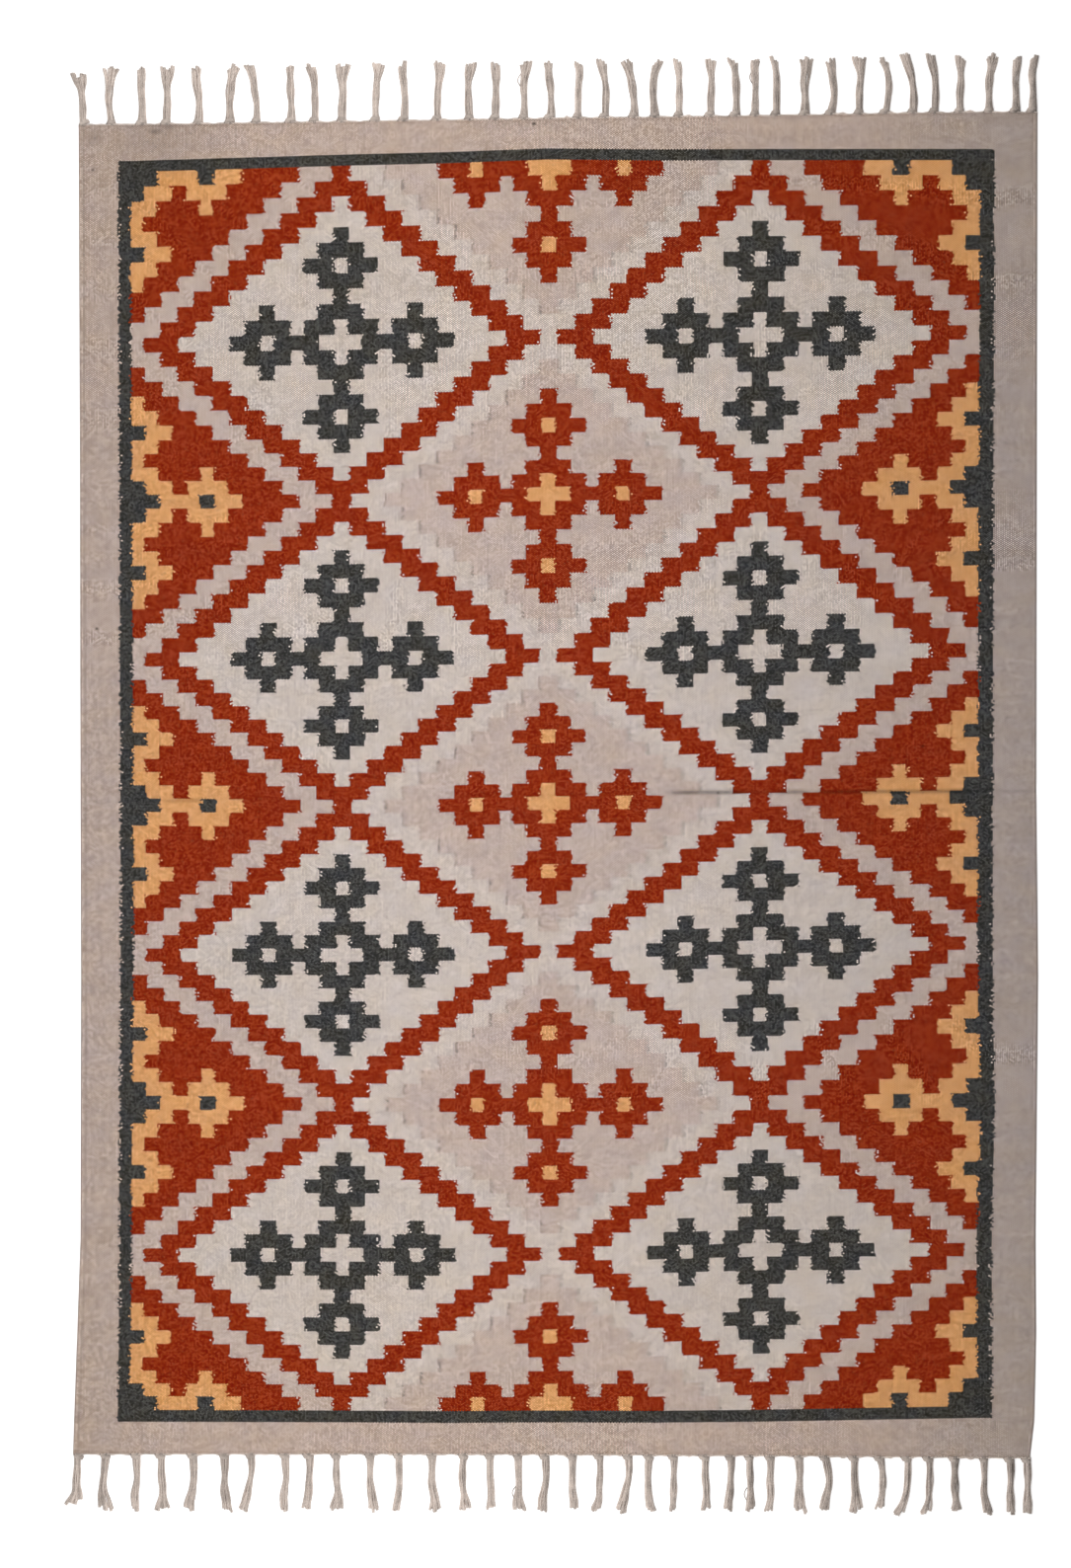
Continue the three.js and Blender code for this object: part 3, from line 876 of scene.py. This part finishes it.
# Painted shade: a yarn's tint is darkened on the right of its bundle, and more towards the rug's right side.
SHADE_STEPS = """
shade = multiply_add seat 0.28 0.37 | multiply right
tint = subtract tint shade
"""
chain(fringe, SHADE_STEPS, values)
bundle = many.outputs["Geometry"]
for name in ON_EACH_COPY:
    bundle = add(fringe, STORE, NUMBER, {"Geometry": bundle, "Name": name, "Value": values[name]})
print("fringe nodes so far:", len(fringe.nodes))

# %% [markdown]
# ### How a yarn lies
#
# The line's points are moved by a formula in t, which runs from 0 at the knot to 1 at the tip. A yarn
# keeps its seat, the bundle is tight behind the knot and opens towards the tip, and the whole tassel leans or
# bows. Towards the tip a wide tassel parts into three tufts and a narrower one into two. Each tassel sways in
# its own way, which follows from where its knot is, and each yarn ripples. The upper yarns come down towards
# the floor, and all of them fray thicker near the tip.

# %% Yarn tree: how a yarn lies
PHASE_A_METRE = 900
spline = add(fringe, "GeometryNodeSplineParameter").outputs
known |= {"t": spline["Factor"], "side": given["Side"], "mm": MM, "half_circle": math.pi}
values = {**known, "radius": given["Yarn Radius"]}
knot = add(fringe, "ShaderNodeSeparateXYZ", None, {0: known["anchor"]})
values["turn_of_knot"] = add(fringe, "ShaderNodeMath", {"operation": "MULTIPLY"}, {0: knot, 1: PHASE_A_METRE})
LIE_STEPS = """
open = subtract t 0.2 | divide 0.8 | maximum 0 | power 1.6
late = subtract t 0.7 | maximum 0 | divide 0.3
turn = multiply t half_circle
arch = sine turn
wide = divide spread 5 | subtract 2.3 | multiply spread | multiply 0.035
pitch = multiply_add wide open 2.3
pinch = multiply_add arch -0.2 1
pitch = multiply pitch pinch
swell = multiply_add t 11 turn_of_knot | sine | multiply_add 0.13 1
pitch = multiply pitch swell
shaken = subtract jitter 0.5 | multiply_add 0.8 seat
across = multiply shaken pitch
pair = sign shaken
third = divide shaken 1.5 | round | maximum -1 | minimum 1 | subtract pair
fanned = greater_than spread 16.5
lobe = multiply_add third fanned pair
part = subtract spread 11.5 | multiply_add 0.06 fork
prong = multiply lobe part
across = multiply_add prong late across
squared = multiply t t
across = multiply_add lean squared across
across = multiply_add bow arch across
sway = multiply_add t 7 turn_of_knot | sine | multiply t
across = multiply_add sway 1.3 across
ripple = multiply_add phase 6.3 turn
ripple = multiply_add t 9 ripple | sine | multiply t
across = multiply_add ripple 1.0 across
blunt = multiply_add lobe 2.1 turn_of_knot | sine
length = subtract longer 0.5 | multiply_add 6 reach
length = multiply_add blunt 3 length | add side | subtract 1.2
out = multiply_add length t -3 | multiply side
settle = multiply t 14 | minimum 1
lift = multiply_add settle 1.1 0.6
drop = multiply_add open -0.45 1
lift = multiply lift drop | multiply layer
across = multiply across mm
out = multiply out mm
fluffy = multiply_add spread 0.045 -0.1
loose = multiply late fluffy
thick = multiply_add ripple 0.1 1
thick = add loose thick
up = multiply radius thick
up = multiply_add lift mm up
"""
chain(fringe, LIE_STEPS, values)
yarns = (bundle, YARN_POINTS, values, "Yarn Radius", values["thick"])
print("fringe nodes so far:", len(fringe.nodes))

# %% [markdown]
# ### The knots
#
# Behind each tassel's root, part of its yarn is wrapped round the rest and pulled tight. The wraps run on
# from the left, where the loop turns back, so the knot's lump sits a little to the left of the tassel. One
# wrapping yarn is a helix with an oval section, which is again a line on each root and a formula in t. Each
# knot is tied a little wider or tighter, by a chance of at most 0.45, and its right side lies in shade. The
# Random Value node has a socket called Max for each kind of value, and number 3 is the one for plain numbers.

# %% Yarn tree: how a knot is wrapped
WRAPS = 4.3
WRAP_POINTS = 60
MOST_SOCKET, MOST_TIED = 3, 0.45
chance = {"ID": index, "Seed": given["Seed"], MOST_SOCKET: MOST_TIED}
chance = add(fringe, "FunctionNodeRandomValue", NUMBER, chance)
marked = add(fringe, STORE, NUMBER, {"Geometry": anchored, "Name": "tint", "Value": chance})
values = {**known, "tied": known["tint"], "all_wraps": 2 * math.pi * WRAPS}
values["right"] = add(fringe, "ShaderNodeMapRange", None, {0: knot, 1: SHADE_FROM, 2: SHADE_TO})
# The last four lines paint shade on each knot's right side, darker towards the rug's right side.
WRAP_STEPS = """
turn = multiply_add t all_wraps 2.6
cosine = cosine turn
sine = sine turn
half = multiply_add tied 4 6.8
tight = multiply_add t -0.3 1
half = multiply half tight
shift = multiply_add tied -3 -1.3 | multiply tight | multiply loop
across = multiply_add cosine half shift
slant = multiply_add tied 4 0.4
out = multiply_add t 5.5 0.2
out = multiply_add cosine slant out | multiply side
lump = multiply_add cosine -0.25 1.8
up = multiply_add sine lump 3
across = multiply across mm
out = multiply out mm
up = multiply up mm
dark = multiply_add cosine 0.5 0.5
deep = multiply_add right 0.8 0.25
dark = multiply dark deep
shaded = subtract tied dark
"""
chain(fringe, WRAP_STEPS, values)
wraps = (marked, WRAP_POINTS, values, "Wrap Radius", 1)
print("fringe nodes so far:", len(fringe.nodes))

# %% [markdown]
# ### Two loose threads
#
# Two tassels have a thin thread that slipped out and stands off their left side in a flat loop. The points
# that have one carry how far it stands off, in millimetres.

# %% Yarn tree: loose threads
LOOSE_SIDE, LOOSE_FROM, LOOSE_LENGTH, LOOSE_UP = -4.3, 49, 21, 2.6
LOOSE_THICKNESS = 0.55
has_loose = add(fringe, "ShaderNodeMath", {"operation": "GREATER_THAN"}, {0: known["stray"], 1: 0})
some = {"Geometry": marked, "Selection": has_loose}
some = add(fringe, "GeometryNodeSeparateGeometry", {"domain": "POINT"}, some)
values = {**known, "loose_side": LOOSE_SIDE, "loose_from": LOOSE_FROM, "loose_length": LOOSE_LENGTH}
values["up"] = LOOSE_UP * MM
LOOSE_STEPS = """
turn = multiply t half_circle
arch = sine turn
across = multiply arch stray
across = subtract loose_side across
out = multiply_add t loose_length loose_from | multiply side
across = multiply across mm
out = multiply out mm
"""
chain(fringe, LOOSE_STEPS, values)
loose = (some, WRAP_POINTS, values, "Wrap Radius", LOOSE_THICKNESS)
print("fringe nodes so far:", len(fringe.nodes))

# %% [markdown]
# ### From lines to yarn
#
# Yarns, knots and loose threads are now made in the same way. A straight line stands on each of their points,
# is moved as its formula says, and Curve to Mesh sweeps a ring of six sides along it. Before that, the ring
# stores its direction and the line its length so far. Together they tell the yarn's material where it is on
# the twist. The woven strip is joined on at the end, and each part gets its own material.

# %% Yarn tree: from lines to yarn
YARN_SIDES = 6
line = add(fringe, "GeometryNodeCurvePrimitiveLine", None, {"End": (0, 1, 0)})
outwards = add(fringe, "ShaderNodeVectorMath", {"operation": "NORMALIZE"}, {0: position})
all_yarn = add(fringe, "GeometryNodeJoinGeometry")
for places, count, values, radius, thickness in (yarns, wraps, loose):
    stepped = add(fringe, "GeometryNodeResampleCurve", None, {"Curve": line, "Count": count})
    stood = add(fringe, "GeometryNodeInstanceOnPoints", None, {"Points": places, "Instance": stepped})
    curves = add(fringe, "GeometryNodeRealizeInstances", None, {0: stood})
    offset = {0: values["across"], 1: values["out"], 2: values["up"]}
    offset = add(fringe, "ShaderNodeCombineXYZ", None, offset)
    spot = add(fringe, "ShaderNodeVectorMath", {"operation": "ADD"}, {0: known["anchor"], 1: offset})
    curves = add(fringe, "GeometryNodeSetPosition", None, {"Geometry": curves, "Position": spot})
    stored = {"along": spline["Length"]}
    if "shaded" in values:
        stored["tint"] = values["shaded"]
    for name, value in stored.items():
        curves = add(fringe, STORE, NUMBER, {"Geometry": curves, "Name": name, "Value": value})
    ring = {"Resolution": YARN_SIDES, "Radius": given[radius]}
    ring = add(fringe, "GeometryNodeCurvePrimitiveCircle", None, ring)
    ring = add(fringe, STORE, VECTOR, {"Geometry": ring, "Name": "round", "Value": outwards})
    tube = {"Curve": curves, "Profile Curve": ring, "Scale": thickness, "Fill Caps": True}
    tube = add(fringe, "GeometryNodeCurveToMesh", None, tube)
    fringe.links.new(tube.outputs[0], all_yarn.inputs[0])
split = add(fringe, "ShaderNodeSeparateXYZ", None, {0: known["round"]}).outputs
packed = {0: split["X"], 1: split["Y"], 2: known["along"]}
packed = add(fringe, "ShaderNodeCombineXYZ", None, packed)
threaded = add(fringe, STORE, VECTOR, {"Geometry": all_yarn, "Name": "thread", "Value": packed})
flagged = {"Geometry": threaded, "Name": "yarn", "Value": True}
flagged = add(fringe, STORE, {**CHOICE, "domain": "FACE"}, flagged)
smooth = add(fringe, "GeometryNodeSetShadeSmooth", None, {"Geometry": flagged})
whole = add(fringe, "GeometryNodeJoinGeometry")
for part in (smooth.outputs[0], parted.outputs["Inverted"]):
    fringe.links.new(part, whole.inputs[0])
real = add(fringe, "GeometryNodeRealizeInstances", None, {0: whole})
woven = {"Geometry": real, "Material": given["Weave"]}
woven = add(fringe, "GeometryNodeSetMaterial", None, woven)
finished = {"Geometry": woven, "Selection": known["yarn"], "Material": given["Yarn"]}
finished = add(fringe, "GeometryNodeSetMaterial", None, finished)
add(fringe, "NodeGroupOutput", None, {0: finished})
print("fringe nodes:", len(fringe.nodes))

# %% [markdown]
# ## The last rows of weave
#
# Each end piece begins with the last 5 mm of weave, drawn out a little at every tassel. It is a closed strip
# of its own and carries the same design coordinates as the cloth, so the plain border runs on through it. Its
# outer edge is a thick cord of warp yarn, so those faces are marked as yarn, and a few lumps show where ends
# were tucked in.

# %% Strip of weave
STRIP_STEP = 2
STRIP_ACROSS = (-0.5, 0.4, 1.4, 2.3, 2.9, 3.5, 4.3, 4.8, 5)
STRIP_HEIGHTS = (3.3, 3.5, 3.3, 2.7, 3.4, 3.9, 3.6, 2.6, 1.6)
CORD_FROM = 3
CORD_START = 20
LUMPS = (
    (-575, 6, 1.0), (13, 4, 3.2), (208, 5, 1.2), (452, 7, 2.6), (528, 5, 2.8),
    (560, 6, 1.4), (655, 7, 2.2),
)
FINE_WOBBLE, COARSE_WOBBLE = 0.35, 0.4


def strip_mesh(side, places):
    """The strip's points, its faces, which faces are cord, and each point's place on the cord's twist."""
    start, stop = float(left_edge(side * BODY_LENGTH / 2)), float(right_edge(side * BODY_LENGTH / 2))
    count = round((stop - start) / STRIP_STEP)
    x = np.linspace(start, stop, count)
    at = [p for _, p in places]
    knots_x = [start, *sorted(at + [(p + q) / 2 for p, q in zip(at, at[1:])]), stop]
    pulls = [-SCALLOP] + [SCALLOP if i % 2 == 0 else -SCALLOP for i in range(2 * len(at) - 1)] + [-SCALLOP]
    pull = np.interp(x, knots_x, pulls)
    pull = SCALLOP * np.sin(pull / SCALLOP * math.pi / 2)
    fine, coarse = np.sin(x / 2.9 + 1.5 * np.sin(x / 17)), np.sin(x / 7.3 + 2 * np.sin(x / 41))
    pull += FINE_WOBBLE * fine + COARSE_WOBBLE * coarse
    for lump, wide, tall in LUMPS:
        pull += tall * np.exp(-(((x - lump) / wide) ** 2) * 2)
    line = end_line(side, x) - STRIP_WIDTH
    points, faces, cord = [], [], []
    across_and_up = [*zip(STRIP_ACROSS, STRIP_HEIGHTS), (STRIP_ACROSS[-1], 0), (STRIP_ACROSS[0], 0)]
    for across, height in across_and_up:
        y = side * (line + across + pull * across / STRIP_WIDTH)
        points += [(px * MM, py * MM, height * MM) for px, py in zip(x, y)]
    rings = len(across_and_up)
    for r in range(rings):
        s = (r + 1) % rings
        for i in range(count - 1):
            quad = (r * count + i, r * count + i + 1, s * count + i + 1, s * count + i)
            faces.append(quad if side > 0 else quad[::-1])
            cord.append(CORD_FROM <= r < len(STRIP_ACROSS))
    for i in (0, count - 1):
        cap = [r * count + i for r in range(rings)]
        faces.append(cap if (i == 0) == (side > 0) else cap[::-1])
        cord.append(False)
    turns = [math.pi * max(r - CORD_FROM, 0) / (len(STRIP_ACROSS) - CORD_FROM) for r in range(rings)]
    thread = [(math.sin(t), math.cos(t), (px - start + CORD_START) * MM) for t in turns for px in x]
    return points, faces, cord, thread


print("strip:", STRIP_ACROSS[-1], "mm wide, up to", max(STRIP_HEIGHTS), "mm high")

# %% [markdown]
# ## The two ends
#
# The tassels' roots are loose points in the strip's own mesh, with their form's numbers as attributes, and
# the tree turns them into yarn. The result is made a plain mesh, because instances and modifiers don't travel
# to other programs, and only the attributes that the materials read are kept.

# %% End pieces
LOOSE_THREADS = {15: 5.5, 24: 4.5}
SEED = 11
CORD_TINT, CORD_TINT_VARIES = 0.6, 0.25
KEPT = ("weave", "thread", "tint")


def end_piece(name, side):
    places = tassel_places(side)
    points, faces, cord, thread = strip_mesh(side, places)
    woven, tassels = len(points), len(places)
    points += [(x * MM, side * float(end_line(side, x)) * MM, 0) for _, x in places]
    piece = mesh_object(name, points, faces)
    mark_weave(piece)
    forms = {key: [float(form[i]) for form, _ in places] for i, key in enumerate(FORM_KEYS)}
    forms["loop"] = [-1.0] + [1.0] * (tassels - 1)
    forms["stray"] = [LOOSE_THREADS.get(i, 0.0) for i in range(tassels)]
    marks = [(key, "FLOAT", "POINT", [0.0] * woven + numbers) for key, numbers in forms.items()]
    marks.append(("root", "BOOLEAN", "POINT", [i >= woven for i in range(len(points))]))
    marks.append(("yarn", "BOOLEAN", "FACE", cord))
    thread = np.array(thread + [(0, 0, 0)] * tassels)
    piece.data.attributes.new("thread", "FLOAT_VECTOR", "POINT").data.foreach_set("vector", thread.ravel())
    along = thread[:, 2] / MM
    tints = CORD_TINT + CORD_TINT_VARIES * np.sin(along / 13 + 2 * np.sin(along / 47))
    marks.append(("tint", "FLOAT", "POINT", tints))
    for key, kind, domain, numbers in marks:
        piece.data.attributes.new(key, kind, domain).data.foreach_set("value", numbers)
    modifier = piece.modifiers.new("fringe", "NODES")
    modifier.node_group = fringe
    sockets = {item.name: item.identifier for item in fringe.interface.items_tree if item.in_out == "INPUT"}
    inputs = {"Side": float(side), "Seed": SEED + side, "Weave": cloth_wool, "Yarn": warp_yarn}
    for key, value in inputs.items():
        modifier[sockets[key]] = value
    made = bpy.data.meshes.new_from_object(piece.evaluated_get(bpy.context.evaluated_depsgraph_get()))
    piece.modifiers.remove(modifier)
    piece.data = made
    made.name = name
    while made.materials[0] is None:
        made.materials.pop(index=0)
    extra = [a.name for a in made.attributes if a.domain == "POINT" and not a.is_required]
    for key in sorted(set(extra) - set(KEPT)):
        made.attributes.remove(made.attributes[key])
    made.calc_loop_triangles()
    print(name, len(made.loop_triangles), "triangles,", [m.name for m in made.materials])
    return piece


fringe_top = end_piece("kilim_fringe_top", 1)
fringe_bottom = end_piece("kilim_fringe_bottom", -1)

# %% [markdown]
# ## Hand the pieces to the frame
#
# The rug has no moving parts, so all three pieces ride on its one body. Each stands for the CAD solid of the
# same place, which is hidden.

# %% Pieces and bodies
PIECES = (
    (cloth, "rug", "kilim_weave"),
    (fringe_top, "fringe_top", "warp_yarn"),
    (fringe_bottom, "fringe_bottom", "warp_yarn"),
)
for piece, node, slot in PIECES:
    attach(piece, "root")
    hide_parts(node)
print("handed over:", [piece.name for piece, _, _ in PIECES])

# %% [markdown]
# ## Studio floor
#
# The rug lies on white paper. Far out the paper curves up into a low wall, as a photographer's cove does, so
# a low view has no hard horizon. A plain plane would end in a line there. The cove is a few rings of points,
# each with its radius and height in metres. The paper is matt, and glows a little, which brings it to the
# clean white of a product photo without more light on the rug.

# %% Floor
floor_paper = bpy.data.materials.new("white_studio_paper")
floor_paper.use_nodes = True
paper = floor_paper.node_tree.nodes["Principled BSDF"].inputs
paper["Base Color"].default_value = linear("#f4f4f4")
paper["Roughness"].default_value = 0.9
paper["Emission Color"].default_value = (1, 1, 1, 1)
paper["Emission Strength"].default_value = 0.42
COVE = ((12, 0), (60, 0), (64, 0.4), (67, 1.6), (69, 4), (70, 9))
SIDES = 64
BELOW = -0.0005
turns = [2 * math.pi * i / SIDES for i in range(SIDES)]
points = [(0, 0, BELOW)]
for radius, height in COVE:
    points += [(radius * math.cos(t), radius * math.sin(t), height + BELOW) for t in turns]
faces = [(0, 1 + i, 1 + (i + 1) % SIDES) for i in range(SIDES)]
for ring in range(len(COVE) - 1):
    inner, outer = 1 + ring * SIDES, 1 + (ring + 1) * SIDES
    for i in range(SIDES):
        faces.append((inner + i, outer + i, outer + (i + 1) % SIDES, inner + (i + 1) % SIDES))
floor = mesh_object("studio_floor", points, faces, floor_paper)
floor.data.shade_smooth()
print("cove:", 2 * COVE[-1][0], "m across,", COVE[-1][1], "m high")

# %% [markdown]
# ## Light
#
# Broad, soft light from everywhere, as in a white room, and one long lamp close over the rug, a little to the
# left of its middle. The lamp gives the weave its relief and leaves the right side slightly darker.

# %% Light
world = bpy.data.worlds.new("studio")
world.use_nodes = True
room = world.node_tree.nodes["Background"].inputs
room["Color"].default_value = (1, 1, 1, 1)
room["Strength"].default_value = 0.5
bpy.context.scene.world = world
LAMP_PLACE, LAMP_AIM = (-0.26, 0, 1.45), (-0.26, 0, 0)
LAMP_SIZE, LAMP_POWER = (0.5, 5), 29
lamp = bpy.data.lights.new("strip_above", "AREA")
lamp.shape = "RECTANGLE"
lamp.size, lamp.size_y = LAMP_SIZE
lamp.energy = LAMP_POWER
stand = bpy.data.objects.new("strip_above", lamp)
stand.location = LAMP_PLACE
away = Vector(LAMP_PLACE) - Vector(LAMP_AIM)
stand.rotation_euler = away.to_track_quat("Z", "Y").to_euler()
stand.visible_camera = False
bpy.context.scene.collection.objects.link(stand)
bpy.context.scene.view_settings.view_transform = "Standard"
print("lamp:", lamp.energy, "W at", LAMP_PLACE[2], "m")

# %% [markdown]
# ## Camera
#
# It looks straight down from far away through a long lens, so the rug's ends and sides keep their true
# proportions. Its height follows from how many metres the picture is tall.

# %% Camera
FRAME_HEIGHT = 2.4925
FRAME_CENTRE = (-0.0364, 0.0039)
RUG_FACE = 0.004
LENS = 150
SENSOR = 36
camera = bpy.data.cameras.new("above")
camera.lens = LENS
camera.sensor_fit = "VERTICAL"
camera.sensor_height = SENSOR
camera.sensor_width = SENSOR
camera.clip_end = 100
tripod = bpy.data.objects.new("above", camera)
tripod.location = (*FRAME_CENTRE, FRAME_HEIGHT * LENS / SENSOR + RUG_FACE)
bpy.context.scene.collection.objects.link(tripod)
bpy.context.scene.camera = tripod
print("camera", round(tripod.location.z, 2), "m above the floor")
